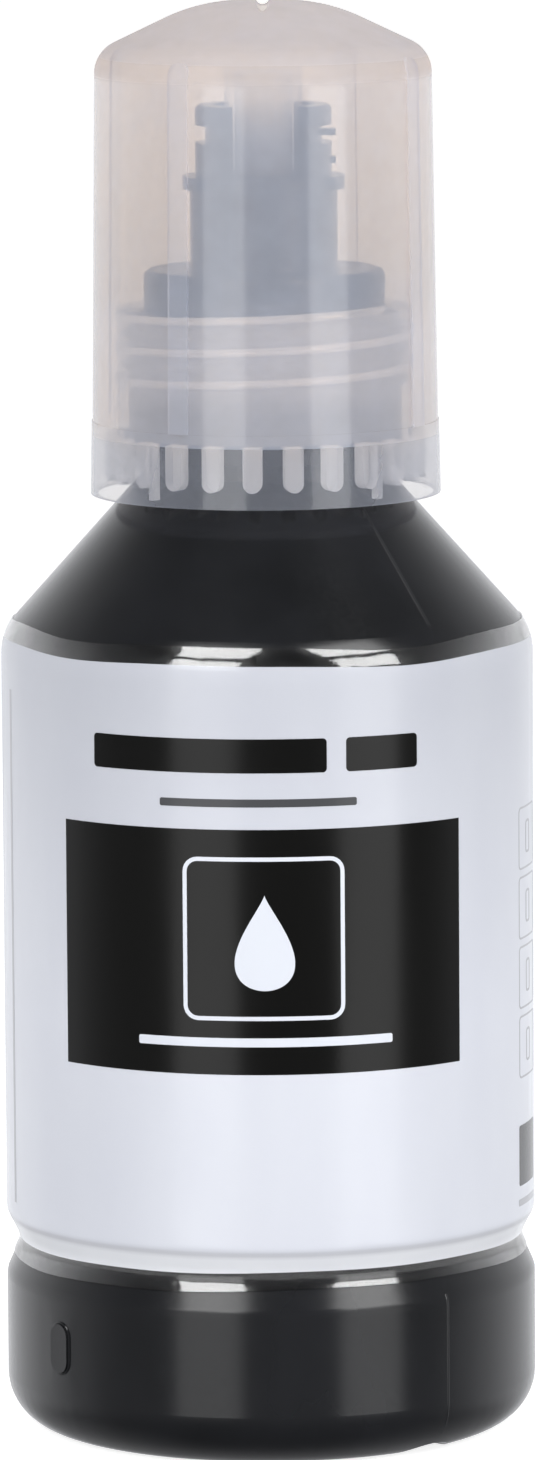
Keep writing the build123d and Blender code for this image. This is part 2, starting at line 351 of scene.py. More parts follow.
@dataclass(frozen=True)
class BlownPolyethylene(Finish):
    """Black blow-moulded polyethylene: satin, with the slow waves of a blown wall."""

    wave: float = 9.0
    wave_stretch: tuple[float, ...] = (1, 1, 0.5)
    wave_depth: float = 0.02
    wave_colour: str = "#1f2023"
    smoother: float = 0.02
    rougher: float = 0.03

    def surface(self, tree: NodeTree) -> Node:
        """Satin black with fine grain over slow waves, which soften the edges of reflections.

        Args:
            tree: node tree of the material.

        Returns:
            The shader.
        """
        wave = self.pattern(tree, self.wave, self.wave_stretch)
        grain = self.pattern(tree, self.grain)
        share = add_node(tree, "ShaderNodeMapRange", ranging(wave, NOISE_MIDDLE))
        colours = {0: share, 6: linear(self.colour), 7: linear(self.wave_colour)}
        levels = (self.roughness - self.smoother, self.roughness + self.rougher)
        waved = add_node(tree, "ShaderNodeBump", {"Height": wave, "Distance": self.wave_depth * MM})
        grained = {"Height": grain, "Distance": self.grain_depth * MM, "Normal": waved}
        return add_node(
            tree,
            "ShaderNodeBsdfPrincipled",
            {
                "Base Color": add_node(tree, "ShaderNodeMix", colours, data_type="RGBA"),
                "Roughness": add_node(
                    tree, "ShaderNodeMapRange", ranging(grain, NOISE_MIDDLE, levels)
                ),
                "IOR": self.ior,
                "Normal": add_node(tree, "ShaderNodeBump", grained),
            },
        )


@dataclass(frozen=True)
class PrintedFilm(Finish):
    """Polyester shrink film with ink printed behind it: glossy, with faint shrink waves."""

    uneven: float = 0.15
    wave: float = 7.0
    wave_stretch: tuple[float, ...] = (1, 1, 0.35)
    wave_depth: float = 0.006
    fibre_stretch: tuple[float, ...] = (1, 1, 3)
    shade: str = "#d3d6de"
    shade_share: float = 0.35
    # Height in millimetres and tone of each stop of painted light and shade, which stand in for how the
    # light falls over the height
    painted_shading: tuple[tuple[float, str], ...] = ()

    def surface(self, tree: NodeTree) -> Node:
        """Ink under a clear gloss, uneven where the film shrank more.

        Args:
            tree: node tree of the material.

        Returns:
            The shader.
        """
        wave = self.pattern(tree, self.wave, self.wave_stretch)
        fibre = self.pattern(tree, self.grain, self.fibre_stretch)
        levels = (0.0, self.shade_share)
        share = add_node(tree, "ShaderNodeMapRange", ranging(wave, NOISE_MIDDLE, levels))
        colours = {0: share, 6: linear(self.colour), 7: linear(self.shade)}
        ink = add_node(tree, "ShaderNodeMix", colours, data_type="RGBA")
        waved = add_node(tree, "ShaderNodeBump", {"Height": wave, "Distance": self.wave_depth * MM})
        fibred = {"Height": fibre, "Distance": self.grain_depth * MM, "Normal": waved}
        return add_node(
            tree,
            "ShaderNodeBsdfPrincipled",
            {
                # painted light and shade over the height, where the finish lists stops for it
                "Base Color": self.paint_light_and_shade(tree, ink) if self.painted_shading else ink,
                "Roughness": self.uneven_gloss(tree, wave),
                "IOR": self.ior,
                "Normal": add_node(tree, "ShaderNodeBump", fibred),
            },
        )

    def paint_light_and_shade(self, tree: NodeTree, ink: Source) -> Node:
        """Multiplies the ink by painted light and shade that follow the height.

        Args:
            tree: node tree of the material.
            ink: colour of the ink.

        Returns:
            The ink with its painted light and shade.
        """
        place = add_node(tree, "ShaderNodeTexCoord").outputs["Object"]
        height = add_node(tree, "ShaderNodeSeparateXYZ", {0: place}).outputs["Z"]
        stops = tuple((rise, linear(painted_tone)) for rise, painted_tone in self.painted_shading)
        painted_shading = self.ramp(tree, height, (stops[0][0], stops[-1][0]), stops)
        return add_node(
            tree, "ShaderNodeMix", {0: 1.0, 6: ink, 7: painted_shading}, data_type="RGBA", blend_type="MULTIPLY"
        )


@dataclass(frozen=True)
class ClearFilm(Finish):
    """Bare polyester shrink film: clear and very glossy, wrinkled near its cut edges."""

    uneven: float = 0.3
    wrinkle: float = 2.8
    wrinkle_stretch: tuple[float, ...] = (0.6, 0.6, 1)
    wrinkle_depth: float = 0.06

    def surface(self, tree: NodeTree) -> Node:
        """Clear film whose wrinkles break up the glints of the lamps.

        Args:
            tree: node tree of the material.

        Returns:
            The shader.
        """
        wrinkle = self.pattern(tree, self.wrinkle, self.wrinkle_stretch)
        wrinkled = {"Height": wrinkle, "Distance": self.wrinkle_depth * MM}
        return add_node(
            tree,
            "ShaderNodeBsdfPrincipled",
            {
                "Base Color": linear(self.colour),
                "Roughness": self.uneven_gloss(tree, wrinkle),
                "IOR": self.ior,
                "Transmission Weight": 1.0,
                "Normal": add_node(tree, "ShaderNodeBump", wrinkled),
            },
        )


@dataclass(frozen=True)
class TranslucentPolypropylene(Finish):
    """Natural polypropylene, moulded thin: it scatters a bluish veil and lets a warmer light through.

    A haze is the share of light that a face scatters. The outer skin stands for the whole wall, and the
    inner faces only add what the thread, the sealing tube and the skirt's teeth scatter. Heights,
    reaches and spans are in millimetres.
    """

    shell: tuple[tuple[float, float], ...] = ()
    shell_span: tuple[float, float] = (95.0, 145.0)
    wall: float = 1.25
    rib_proud: float = 0.15
    let_through: str = "#ffecd3"
    skirt_through: str = "#ece8e4"
    stain: str = "#c6cedb"
    stain_reach: float = 4.3
    stain_span: tuple[float, float] = (135.5, 130.0)
    inner_colour: str = "#f8faff"
    scatter_through: float = 0.5
    dome_scatter_through: float = 0.66
    dome_span: tuple[float, float] = (137.3, 138.5)
    dome_roughness: float = 0.5
    dome_gloss: float = 0.12
    face_gloss: float = 0.1
    thread_gloss: float = 0.6
    thread_reach: float = 14.5
    thread_low: float = 104.0
    cloud: float = 10.0
    cloud_share: float = 0.05
    skin_haze: float = 0.47
    edge_haze: float = 0.04
    grazing: float = 5.0
    rib_haze: float = 0.08
    low_haze: float = 0.05
    low_haze_span: tuple[float, float] = (126.0, 114.0)
    skirt_top: float = 101.6
    skirt_share: float = 0.38
    skirt_edge_haze: float = 0.26
    tooth_haze: float = 0.78
    tooth_reach: float = 16.25
    widest: float = 20.0
    haze_steps: tuple[tuple[float, float], ...] = (
        (0.0, 0.12),
        (10.0, 1.0),
        (14.02, 0.1),
        (14.75, 0.42),
        (15.1, 0.03),
    )
    band_top: float = 116.0
    band_low_share: float = 0.6
    band_low_span: tuple[float, float] = (104.5, 107.0)
    tube_reach: float = 6.8
    tube_top: float = 138.4
    tube_edge_haze: float = 0.8
    tube_edge_fall: float = 2.0

    def zone(self, tree: NodeTree, *limits: tuple[Source, Side, float]) -> Node:
        """Marks the zone where every length keeps to its side of a limit.

        Args:
            tree: node tree of the material.
            limits: length in metres, side and limit in millimetres, once or more.

        Returns:
            1 in the zone and 0 outside it.
        """
        length, side, limit = limits[0]
        share = add_node(tree, "ShaderNodeMath", {0: length, 1: limit * MM}, operation=side.value)
        for length, side, limit in limits[1:]:
            test = add_node(tree, "ShaderNodeMath", {0: length, 1: limit * MM}, operation=side.value)
            share = add_node(tree, "ShaderNodeMath", {0: share, 1: test}, operation="MULTIPLY")
        return share

    def surface(self, tree: NodeTree) -> Node:
        """Clear light mixed with the plastic's haze, under a gloss.

        Args:
            tree: node tree of the material.

        Returns:
            The shader.
        """
        place = add_node(tree, "ShaderNodeTexCoord").outputs["Object"]
        height = add_node(tree, "ShaderNodeSeparateXYZ", {0: place}).outputs["Z"]
        level = add_node(tree, "ShaderNodeVectorMath", {0: place, 1: (1, 1, 0)}, operation="MULTIPLY")
        length = add_node(tree, "ShaderNodeVectorMath", {0: level}, operation="LENGTH")
        radius = length.outputs["Value"]
        facing = add_node(tree, "ShaderNodeLayerWeight", {"Blend": 0.5}).outputs["Facing"]
        middle = self.ramp(
            tree,
            height,
            self.shell_span,
            tuple((rise, (far / self.widest,) * 3 + (1.0,)) for rise, far in self.shell),
        )
        outside = add_node(
            tree, "ShaderNodeMath", {0: middle, 1: -self.widest * MM, 2: radius}, operation="MULTIPLY_ADD"
        )
        skin = add_node(tree, "ShaderNodeMath", {0: outside, 1: 0.0}, operation="GREATER_THAN")
        inner = self.inner_haze(tree, height, radius, facing)
        outer = self.outer_haze(tree, height, outside, facing)
        haze = add_node(tree, "ShaderNodeMix", {0: skin, 2: inner, 3: outer}, data_type="FLOAT")
        cloud = self.pattern(tree, self.grain * self.cloud)
        levels = (1 - self.cloud_share, 1 + self.cloud_share)
        clouded = add_node(tree, "ShaderNodeMapRange", ranging(cloud, NOISE_MIDDLE, levels))
        uneven = add_node(tree, "ShaderNodeMath", {0: haze, 1: clouded}, operation="MULTIPLY")
        grain = self.pattern(tree, self.grain)
        normal = add_node(tree, "ShaderNodeBump", {"Height": grain, "Distance": self.grain_depth * MM})
        clear = add_node(
            tree, "ShaderNodeBsdfTransparent", {"Color": self.passing(tree, height, radius, skin)}
        )
        veil = self.veil(tree, height, skin, normal)
        mixed = add_node(tree, "ShaderNodeMixShader", {0: uneven, 1: clear, 2: veil})
        levels = (self.roughness, self.dome_roughness)
        rough = add_node(tree, "ShaderNodeMapRange", ranging(height, self.dome_span, levels, MM))
        mirror = add_node(tree, "ShaderNodeBsdfGlossy", {"Roughness": rough, "Normal": normal})
        share = self.gloss(tree, height, radius, skin, facing)
        return add_node(tree, "ShaderNodeMixShader", {0: share, 1: mixed, 2: mirror})

    def passing(self, tree: NodeTree, height: Source, radius: Source, skin: Source) -> Node:
        """Colour of the light let through: warm in the skin, and inky where the tube is wetted.

        Args:
            tree: node tree of the material.
            height: height of the place in metres.
            radius: its radius in metres.
            skin: 1 on the outer skin and 0 inside.

        Returns:
            The colour.
        """
        near = self.zone(tree, (radius, Side.BELOW, self.stain_reach))
        low = add_node(tree, "ShaderNodeMapRange", ranging(height, self.stain_span, unit=MM))
        wetted = add_node(tree, "ShaderNodeMath", {0: near, 1: low}, operation="MULTIPLY")
        skirt = self.zone(tree, (height, Side.BELOW, self.skirt_top))
        stained = {0: wetted, 6: linear("#ffffff"), 7: linear(self.stain)}
        warmed = {0: skirt, 6: linear(self.let_through), 7: linear(self.skirt_through)}
        inside = add_node(tree, "ShaderNodeMix", stained, data_type="RGBA")
        outside = add_node(tree, "ShaderNodeMix", warmed, data_type="RGBA")
        return add_node(tree, "ShaderNodeMix", {0: skin, 6: inside, 7: outside}, data_type="RGBA")

    def veil(self, tree: NodeTree, height: Source, skin: Source, normal: Source) -> Node:
        """Scattered light: partly sent back, and on the skin partly sent onward, more so in the dome.

        Args:
            tree: node tree of the material.
            height: height of the place in metres.
            skin: 1 on the outer skin and 0 inside.
            normal: normal of the grained face.

        Returns:
            The shader.
        """
        colours = {0: skin, 6: linear(self.inner_colour), 7: linear(self.colour)}
        scattered = add_node(tree, "ShaderNodeMix", colours, data_type="RGBA")
        levels = (self.scatter_through, self.dome_scatter_through)
        share = add_node(tree, "ShaderNodeMapRange", ranging(height, self.dome_span, levels, MM))
        share = add_node(tree, "ShaderNodeMath", {0: skin, 1: share}, operation="MULTIPLY")
        back = add_node(tree, "ShaderNodeBsdfDiffuse", {"Color": scattered, "Normal": normal})
        onward = add_node(tree, "ShaderNodeBsdfTranslucent", {"Color": scattered})
        return add_node(tree, "ShaderNodeMixShader", {0: share, 1: back, 2: onward})

    def gloss(
        self, tree: NodeTree, height: Source, radius: Source, skin: Source, facing: Source
    ) -> Node:
        """Share of light mirrored: by the skin, more at grazing angles, and by the thread's crest.

        Args:
            tree: node tree of the material.
            height: height of the place in metres.
            radius: its radius in metres.
            skin: 1 on the outer skin and 0 inside.
            facing: 0 where the face is seen square on and 1 at its edge.

        Returns:
            The share.
        """
        grazing = add_node(tree, "ShaderNodeMath", {0: facing, 1: self.grazing}, operation="POWER")
        rising = {0: grazing, 1: 1 - self.face_gloss, 2: self.face_gloss}
        share = add_node(tree, "ShaderNodeMath", rising, operation="MULTIPLY_ADD")
        levels = (1.0, self.dome_gloss)
        dulled = add_node(tree, "ShaderNodeMapRange", ranging(height, self.dome_span, levels, MM))
        share = add_node(tree, "ShaderNodeMath", {0: share, 1: dulled}, operation="MULTIPLY")
        share = add_node(tree, "ShaderNodeMath", {0: share, 1: skin}, operation="MULTIPLY")
        thread = self.zone(
            tree,
            (radius, Side.BELOW, self.thread_reach),
            (radius, Side.ABOVE, self.tube_reach),
            (height, Side.BELOW, self.band_top),
            (height, Side.ABOVE, self.thread_low),
        )
        thread = add_node(tree, "ShaderNodeMath", {0: thread, 1: self.thread_gloss}, operation="MULTIPLY")
        return add_node(tree, "ShaderNodeMath", {0: share, 1: thread}, operation="MAXIMUM")

    def outer_haze(self, tree: NodeTree, height: Source, outside: Source, facing: Source) -> Node:
        """Haze of the outer skin: more on the ribs, at its edges and low down, and less on the skirt.

        Args:
            tree: node tree of the material.
            height: height of the place in metres.
            outside: its distance outside the middle of the wall, in metres.
            facing: 0 where the face is seen square on and 1 at its edge.

        Returns:
            The haze.
        """
        rib = self.zone(tree, (outside, Side.ABOVE, self.wall / 2 + self.rib_proud))
        ribbed = {0: rib, 1: self.rib_haze, 2: self.skin_haze}
        haze = add_node(tree, "ShaderNodeMath", ribbed, operation="MULTIPLY_ADD")
        edged = {0: facing, 1: self.edge_haze, 2: haze}
        haze = add_node(tree, "ShaderNodeMath", edged, operation="MULTIPLY_ADD")
        levels = (0.0, self.low_haze)
        low = add_node(tree, "ShaderNodeMapRange", ranging(height, self.low_haze_span, levels, MM))
        haze = add_node(tree, "ShaderNodeMath", {0: haze, 1: low}, operation="ADD")
        skirt = self.zone(tree, (height, Side.BELOW, self.skirt_top))
        thinned = {0: skirt, 1: self.skirt_share - 1, 2: 1.0}
        thin = add_node(tree, "ShaderNodeMath", thinned, operation="MULTIPLY_ADD")
        haze = add_node(tree, "ShaderNodeMath", {0: haze, 1: thin}, operation="MULTIPLY")
        rim = add_node(tree, "ShaderNodeMath", {0: facing, 1: skirt}, operation="MULTIPLY")
        rimmed = {0: rim, 1: self.skirt_edge_haze, 2: haze}
        return add_node(tree, "ShaderNodeMath", rimmed, operation="MULTIPLY_ADD")

    def inner_haze(self, tree: NodeTree, height: Source, radius: Source, facing: Source) -> Node:
        """Haze of the inner faces: that of the threaded band, the sealing tube and the skirt's teeth.

        Args:
            tree: node tree of the material.
            height: height of the place in metres.
            radius: its radius in metres.
            facing: 0 where the face is seen square on and 1 at its edge.

        Returns:
            The haze.
        """
        stops = tuple((reach, (level,) * 3 + (1.0,)) for reach, level in self.haze_steps)
        haze = self.ramp(tree, radius, (0.0, self.widest), stops, "CONSTANT")
        levels = (self.band_low_share, 1.0)
        fuller = add_node(tree, "ShaderNodeMapRange", ranging(height, self.band_low_span, levels, MM))
        band = self.zone(tree, (height, Side.BELOW, self.band_top))
        band = add_node(tree, "ShaderNodeMath", {0: band, 1: fuller}, operation="MULTIPLY")
        tube = self.zone(
            tree, (radius, Side.BELOW, self.tube_reach), (height, Side.BELOW, self.tube_top)
        )
        either = add_node(tree, "ShaderNodeMath", {0: band, 1: tube}, operation="MAXIMUM")
        haze = add_node(tree, "ShaderNodeMath", {0: haze, 1: either}, operation="MULTIPLY")
        edge = add_node(tree, "ShaderNodeMath", {0: facing, 1: self.tube_edge_fall}, operation="POWER")
        edge = add_node(tree, "ShaderNodeMath", {0: tube, 1: edge}, operation="MULTIPLY")
        edged = {0: edge, 1: self.tube_edge_haze, 2: haze}
        haze = add_node(tree, "ShaderNodeMath", edged, operation="MULTIPLY_ADD")
        teeth = self.zone(
            tree, (radius, Side.BELOW, self.tooth_reach), (height, Side.BELOW, self.skirt_top)
        )
        teeth = add_node(tree, "ShaderNodeMath", {0: teeth, 1: self.tooth_haze}, operation="MULTIPLY")
        return add_node(tree, "ShaderNodeMath", {0: haze, 1: teeth}, operation="MAXIMUM")


@dataclass(frozen=True)
class StudioFloor(Finish):
    """Matt white paper sweep, as white as the background where the camera sees it."""

    seen_light: float = 0.85

    def surface(self, tree: NodeTree) -> Node:
        """Plain white with the faintest tooth of paper, and the background's light for the camera.

        Args:
            tree: node tree of the material.

        Returns:
            The shader.
        """
        tooth = self.pattern(tree, self.grain)
        paper = add_node(
            tree,
            "ShaderNodeBsdfPrincipled",
            {
                "Base Color": linear(self.colour),
                "Roughness": self.roughness,
                "Specular IOR Level": 0.0,
                "Normal": add_node(
                    tree, "ShaderNodeBump", {"Height": tooth, "Distance": self.grain_depth * MM}
                ),
            },
        )
        seen = add_node(tree, "ShaderNodeLightPath").outputs["Is Camera Ray"]
        light = add_node(tree, "ShaderNodeMath", {0: seen, 1: self.seen_light}, operation="MULTIPLY")
        glow = add_node(tree, "ShaderNodeEmission", {"Strength": light})
        return add_node(tree, "ShaderNodeAddShader", {0: paper, 1: glow})


# Satin black, because the mould was blasted and the wall cooled unevenly
BLOWN_BLACK = BlownPolyethylene("blown_black_polyethylene", "#17181a", 0.19, grain_depth=0.0008)
# White ink behind a clear film, with painted light and shade over the height: a painted brighter zone in
# the groove, a painted shade line at the groove's top, and painted shade that darkens it towards the
# shoulder
WHITE_FILM = PrintedFilm(
    "white_printed_shrink_film",
    "#fafcff",
    0.22,
    ior=1.55,
    shade="#eef0f6",
    painted_shading=(
        # painted light: brighter in the groove
        (19.0, "#f6f6f8"),
        (21.4, "#f2f2f4"),
        # painted shade: a dark line along the groove's top
        (21.9, "#c9c9cd"),
        (22.4, "#e1e2e8"),
        (44.0, "#e1e2e8"),
        # painted shade, darker towards the shoulder
        (60.0, "#d8d9df"),
        (76.0, "#cbccd2"),
        (84.0, "#c9cad0"),
    ),
)
# The same film without ink, so that only its gloss shows over the black bottle
CLEAR_FILM = ClearFilm("clear_shrink_film", "#ffffff", 0.07, ior=1.65)
# Injection-moulded polypropylene, a little bluer and shinier than the bottle
NOZZLE_BLACK = Finish("moulded_black_polypropylene", "#1a1d24", 0.24, ior=1.52, grain_depth=0.002)
# Silicone rubber as pressed: milky and soft in its shine
VALVE_SILICONE = Finish("moulded_silicone", "#b9bab8", 0.45, ior=1.43, grain=0.3)
# Cut sheet of nitrile rubber: matt
GASKET_RUBBER = Finish("nitrile_rubber", "#1d1d1e", 0.6, ior=1.52, grain=0.3)
# Liquid dye ink: black with a still, mirror-like surface
LIQUID_INK = Finish("black_dye_ink", "#08080a", 0.04, ior=1.34, grain=2.0, grain_depth=0.001)
# Matt paper, whose tooth is drawn at 0.6 mm so that it can show at all
PAPER_FLOOR = StudioFloor("white_paper_sweep", "#f4f4f4", 0.9, grain=0.6, grain_depth=0.01)


@dataclass
class BlownBottle:
    """The black bottle: its finish, the mould's parting lines and the bead round the mould's pad."""

    ring_radius: float = 18.5
    radius: float = 27.0
    sleeved_radius: float = 26.86
    foot_rounding: float = 5.4
    band_top: float = 15.9
    band_rounding: float = 2.2
    groove_depth: float = 1.6
    groove_floor: float = 19.5
    groove_top: float = 22.3
    groove_rounding: float = 2.0
    body_top: float = 81.6
    shoulder_slope: float = 41.9
    shoulder_rounding: float = 6.0
    neck_radius: float = 12.2
    arc_steps: int = 8
    parting_azimuths: tuple[float, float] = (41.0, 221.0)
    parting_width: float = 0.3
    parting_proud: float = 0.06
    parting_sunk: float = 0.03
    parting_steps: int = 6
    parting_low: float = 2.0
    parting_high: float = 16.6
    shoulder_line_rise: float = 2.4
    shoulder_line_high: float = 97.0
    pad_azimuth: float = -52.0
    pad_height: float = 10.65
    pad_width: float = 2.8
    pad_tall: float = 5.2
    bead: float = 0.16

    def outline(self, proud: float) -> list[Vector]:
        """Outside of the bottle from the foot ring to the neck.

        Args:
            proud: distance outside the bottle's own surface.

        Returns:
            Points with their radius and height in millimetres.
        """
        slope = tan(radians(self.shoulder_slope))
        neck_foot = self.body_top + (self.sleeved_radius - self.neck_radius) / slope
        corners = [
            (self.ring_radius, 0.0),
            (self.radius, 0.0),
            (self.radius, self.band_top),
            (self.radius - self.groove_depth, self.groove_floor),
            (self.sleeved_radius, self.groove_top),
            (self.sleeved_radius, self.body_top),
            (self.neck_radius, neck_foot),
        ]
        roundings = [
            self.foot_rounding + proud,
            self.band_rounding + proud,
            self.groove_rounding - proud,
            self.groove_rounding + proud,
            self.shoulder_rounding + proud,
        ]
        return rounded(outset(corners, proud), roundings, self.arc_steps)

    def radius_at(self, height: float, proud: float) -> float:
        """Radius of the outside at a height.

        Args:
            height: height in millimetres, above the foot's rounding.
            proud: distance outside the bottle's own surface.

        Returns:
            The radius in millimetres.
        """
        points = self.outline(proud)
        for before, after in zip(points, points[1:]):
            if before.y <= height <= after.y and after.y > before.y:
                return before.x + (after.x - before.x) * (height - before.y) / (after.y - before.y)
        return points[-1].x

    def parting_line(self, name: str, azimuth: float, low: float, high: float) -> Object:
        """Raised line where the mould halves met.

        Args:
            name: name of the piece.
            azimuth: its azimuth in degrees.
            low: height where it starts.
            high: height where it ends.

        Returns:
            The piece.
        """
        bm = bmesh.new()
        heights = [low] + [point.y for point in self.outline(0.0) if low < point.y < high] + [high]
        turn = Matrix.Rotation(radians(azimuth), 4, "Z")
        outwards = turn @ Vector((0, -1, 0))
        verts = [
            bm.verts.new(turn @ Vector((0, -self.radius_at(height, 0.0) * MM, height * MM)))
            for height in heights
        ]
        edges = [bm.edges.new(pair) for pair in zip(verts, verts[1:])]
        places = []
        for step in range(self.parting_steps + 1):
            swing = pi * step / self.parting_steps
            across = turn @ Vector((-cos(swing) * self.parting_width / 2 * MM, 0, 0))
            places.append(across + outwards * (sin(swing) * self.parting_proud - self.parting_sunk) * MM)
        bmesh.ops.translate(bm, verts=verts, vec=places[0])
        for before, after in zip(places, places[1:]):
            swept = bmesh.ops.extrude_edge_only(bm, edges=edges)["geom"]
            fresh = [part for part in swept if isinstance(part, BMVert)]
            edges = [
                part
                for part in swept
                if isinstance(part, BMEdge) and set(part.verts) <= set(fresh)
            ]
            bmesh.ops.translate(bm, verts=fresh, vec=after - before)
        bmesh.ops.recalc_face_normals(bm, faces=bm.faces)
        if sum(face.normal.dot(outwards) for face in bm.faces) < 0:
            bmesh.ops.reverse_faces(bm, faces=bm.faces)
        return finish_mesh(name, bm, "bottle_body")

    def pad_bead(self, steps: int = 12, around: int = 10) -> Object:
        """Fine round bead along the edge of the mould's pad on the foot.

        Args:
            steps: pieces in each of the pad's round ends.
            around: corners of the bead's section.

        Returns:
            The piece.
        """
        end = self.pad_width / 2
        reach = self.pad_tall / 2 - end
        path = []
        for side in (1, -1):
            for step in range(steps + 1):
                turn = pi * step / steps
                path.append((side * end * cos(turn), side * (reach + end * sin(turn))))
        bm = bmesh.new()
        rings = []
        for index, (across, rise) in enumerate(path):
            before, after = path[index - 1], path[(index + 1) % len(path)]
            along = Vector((after[0] - before[0], after[1] - before[1])).normalized()
            ring = []
            for corner in range(around):
                swing = tau * corner / around
                out = self.bead * cos(swing)
                wide = across + along.y * self.bead * sin(swing)
                tall = rise - along.x * self.bead * sin(swing)
                angle = radians(self.pad_azimuth) + wide / self.radius
                ring.append(
                    bm.verts.new(
                        radial_point(angle, (self.radius + out) * MM, (self.pad_height + tall) * MM)
                    )
                )
            rings.append(ring)
        for ring, following in zip(rings, rings[1:] + rings[:1]):
            for corner in range(around):
                other = (corner + 1) % around
                bm.faces.new((ring[corner], ring[other], following[other], following[corner]))
        bmesh.ops.recalc_face_normals(bm, faces=bm.faces)
        return finish_mesh("mould_pad_bead", bm, "bottle_body")

    def build(self) -> None:
        """Makes the parting lines and the pad's bead, and dresses the bottle."""
        pieces = [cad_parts["bottle"], self.pad_bead()]
        spans = (
            ("foot", self.parting_low, self.parting_high),
            ("shoulder", self.body_top + self.shoulder_line_rise, self.shoulder_line_high),
        )
        for side, azimuth in zip(("right", "left"), self.parting_azimuths):
            for part, low, high in spans:
                pieces.append(self.parting_line(f"parting_line_{part}_{side}", azimuth, low, high))
        BLOWN_BLACK.dress(*pieces)


@dataclass(frozen=True)
class PrintField:
    """One field of print: its middle, its size, its corners, and a line width if it is an outline."""

    name: str
    azimuth: float
    height: float
    width: float
    tall: float
    ink: InkColour
    rounding: float = 0.0
    line: float = 0.0


@dataclass
class ShrinkLabel:
    """The printed film: a white zone between two clear margins, with fields of print on it."""

    bottle: BlownBottle
    gap: float = 0.02
    thickness: float = 0.12
    low: float = 17.95
    print_low: float = 19.75
    groove_end: float = 24.0
    body_end: float = 78.4
    print_high: float = 80.95
    high: float = 82.7
    around: int = 192
    margin_rows: int = 6
    groove_rows: int = 12
    body_rows: int = 10
    low_waves: tuple[tuple[int, float, float], ...] = ((1, 0.3, 50.0), (3, 0.12, 20.0), (8, 0.06, 5.0))
    high_waves: tuple[tuple[int, float, float], ...] = ((2, 0.2, -60.0), (5, 0.22, 65.0), (9, 0.08, 12.0))
    weld: float = 0.001
    print_thickness: float = 0.02
    ink_roughness: float = 0.2
    ink_ior: float = 1.42
    corner_steps: int = 6
    cut_width: float = 1.2
    seam_azimuth: float = -73.5
    seam_width: float = 0.6
    seam_high: float = 76.5
    side_azimuth: float = 76.0
    side_top: float = 61.1
    side_pitch: float = 7.1
    side_count: int = 4
    drop_azimuth: float = -0.9
    drop_height: float = 53.4
    drop_width: float = 6.6
    drop_tall: float = 9.6
    drop_fullness: float = 1.3
    drop_taper: float = 1.5
    drop_steps: int = 64

    def rows(self) -> list[float]:
        """Heights of the film's rows, denser in the margins and the groove.

        Returns:
            The heights in millimetres, from the lower edge up.
        """
        spans = [
            (self.low, self.print_low, self.margin_rows),
            (self.print_low, self.groove_end, self.groove_rows),
            (self.groove_end, self.body_end, self.body_rows),
            (self.body_end, self.print_high, self.margin_rows),
            (self.print_high, self.high, self.margin_rows),
        ]
        heights = [self.low]
        for start, end, count in spans:
            heights += [start + (end - start) * step / count for step in range(1, count + 1)]
        return heights

    def wave(self, waves: tuple[tuple[int, float, float], ...], azimuth: float) -> float:
        """Rise of a cut edge at an azimuth, from the film's uneven shrinking."""
        return sum(rise * cos(count * (azimuth - radians(peak))) for count, rise, peak in waves)

    def film(self) -> Object:
        """Spins the film, lets its edges wander and gives it its thickness.

        Returns:
            The piece, which stands in for the CAD sleeve.
        """
        bm = bmesh.new()
        proud = self.gap + self.thickness
        heights = self.rows()
        verts = [
            bm.verts.new(radial_point(0, self.bottle.radius_at(height, proud) * MM, height * MM))
            for height in heights
        ]
        for pair in zip(verts, verts[1:]):
            bm.edges.new(pair)
        bmesh.ops.spin(
            bm,
            geom=bm.verts[:] + bm.edges[:],
            axis=(0, 0, 1),
            cent=(0, 0, 0),
            angle=tau,
            steps=self.around,
            use_merge=True,
        )
        bmesh.ops.remove_doubles(bm, verts=bm.verts, dist=self.weld * MM)
        bmesh.ops.recalc_face_normals(bm, faces=bm.faces)
        middle = (self.print_low + self.print_high) / 2
        for face in bm.faces:
            height = face.calc_center_median().z / MM
            face.material_index = 0 if self.print_low < height < self.print_high else 1
        for vert in bm.verts:
            height = vert.co.z / MM
            azimuth = azimuth_of(vert.co)
            near_low = max(0.0, 1 - abs(height - self.low) / (self.groove_end - self.low))
            near_high = max(0.0, 1 - abs(height - self.high) / (self.groove_end - self.low))
            height += near_low * self.wave(self.low_waves, azimuth) if height < middle else 0
            height += near_high * self.wave(self.high_waves, azimuth) if height > middle else 0
            radius = self.bottle.radius_at(height, proud)
            vert.co = radial_point(azimuth, radius * MM, height * MM)
        outwards = sum(face.normal.dot(face.calc_center_median()) for face in bm.faces)
        if outwards < 0:
            bmesh.ops.reverse_faces(bm, faces=bm.faces)
        bmesh.ops.solidify(bm, geom=bm.faces[:], thickness=self.thickness * MM)
        piece = finish_mesh("shrink_film", bm, "bottle_body")
        piece.data.materials.append(WHITE_FILM.material())
        piece.data.materials.append(CLEAR_FILM.material())
        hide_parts("label_sleeve")
        return piece

    def wrap(self, bm: BMesh, azimuth: float, height: float, lift: float) -> None:
        """Bends a flat shape around the bottle.

        Args:
            bm: flat shape in millimetres, with x along the girth, z up and -y outwards.
            azimuth: azimuth of its middle in degrees.
            height: height of its middle.
            lift: distance of its plane above the film.
        """
        for vert in bm.verts:
            radius = self.bottle.radius + lift - vert.co.y
            angle = radians(azimuth) + vert.co.x / self.bottle.radius
            vert.co = radial_point(angle, radius * MM, (height + vert.co.z) * MM)

    def cut_upright(self, bm: BMesh, half_width: float) -> None:
        """Cuts a flat shape into upright strips, so that it can bend.

        Args:
            bm: flat shape in millimetres.
            half_width: half its width.
        """
        count = int(2 * half_width / self.cut_width)
        for index in range(1, count):
            across = -half_width + 2 * half_width * index / count
            geometry = bm.verts[:] + bm.edges[:] + bm.faces[:]
            bmesh.ops.bisect_plane(bm, geom=geometry, plane_co=(across, 0, 0), plane_no=(1, 0, 0))

